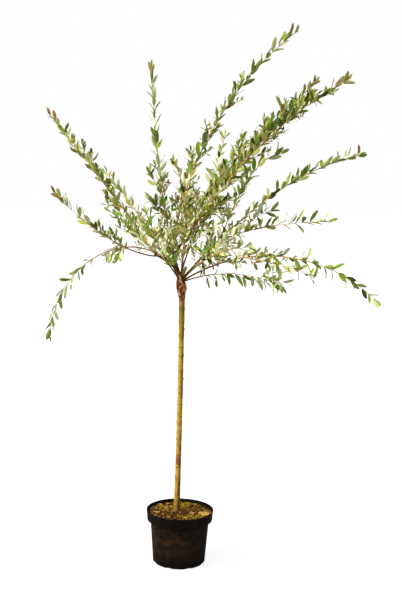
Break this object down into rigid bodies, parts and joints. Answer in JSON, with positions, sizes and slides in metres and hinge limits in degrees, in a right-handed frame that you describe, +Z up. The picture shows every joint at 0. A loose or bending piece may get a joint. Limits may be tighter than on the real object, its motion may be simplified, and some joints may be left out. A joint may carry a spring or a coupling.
{
  "type": "potted dappled willow",
  "caption": "Young dappled willow trained as a standard: an open, arching crown of slender leafy shoots on a straight bare stem, in a round black nursery pot.",
  "frame": {"origin": "centre of the pot's flat underside, which stands on the floor", "axes": "+Z up along the stem, +X to the right in the picture, +Y away from its viewer"},
  "size_m": [1.1742, 0.8962, 1.9451],
  "materials": {
    "pot_plastic": "thin moulded black plastic, dusty with dried soil",
    "compost": "moist bark compost with moss",
    "stem_bark": "smooth yellow-green bark, rough and brown at the graft",
    "bough_bark": "thin reddish-brown bark",
    "foliage": "green leaves mottled with cream, on orange-brown twigs"
  },
  "bodies": {
    "root": {"bough_back_left": "bough_bark", "bough_back_right": "bough_bark", "bough_back_rise": "bough_bark", "bough_bent_right": "bough_bark", "bough_centre": "bough_bark", "bough_front_left": "bough_bark", "bough_front_right": "bough_bark", "bough_front_rise": "bough_bark", "bough_high_left": "bough_bark", "bough_high_right": "bough_bark", "bough_inner_back": "bough_bark", "bough_inner_left": "bough_bark", "bough_left": "bough_bark", "bough_left_back": "bough_bark", "bough_left_front": "bough_bark", "bough_level_right": "bough_bark", "bough_long_right": "bough_bark", "bough_low_right": "bough_bark", "bough_mid_left": "bough_bark", "bough_steep_right": "bough_bark", "bough_stub": "bough_bark", "bough_upper_right": "bough_bark", "bough_weeping_left": "bough_bark", "bough_weeping_right": "bough_bark", "compost": "compost", "foliage_back_left": "foliage", "foliage_back_right": "foliage", "foliage_back_rise": "foliage", "foliage_bent_right": "foliage", "foliage_centre": "foliage", "foliage_front_left": "foliage", "foliage_front_right": "foliage", "foliage_front_rise": "foliage", "foliage_high_left": "foliage", "foliage_high_right": "foliage", "foliage_inner_back": "foliage", "foliage_inner_left": "foliage", "foliage_left_back": "foliage", "foliage_left_front": "foliage", "foliage_level_right": "foliage", "foliage_long_right": "foliage", "foliage_low_right": "foliage", "foliage_mid_left": "foliage", "foliage_steep_right": "foliage", "foliage_upper_right": "foliage", "foliage_weeping_left": "foliage", "foliage_weeping_right": "foliage", "pot": "pot_plastic", "stem": "stem_bark"}
  },
  "joints": []
}
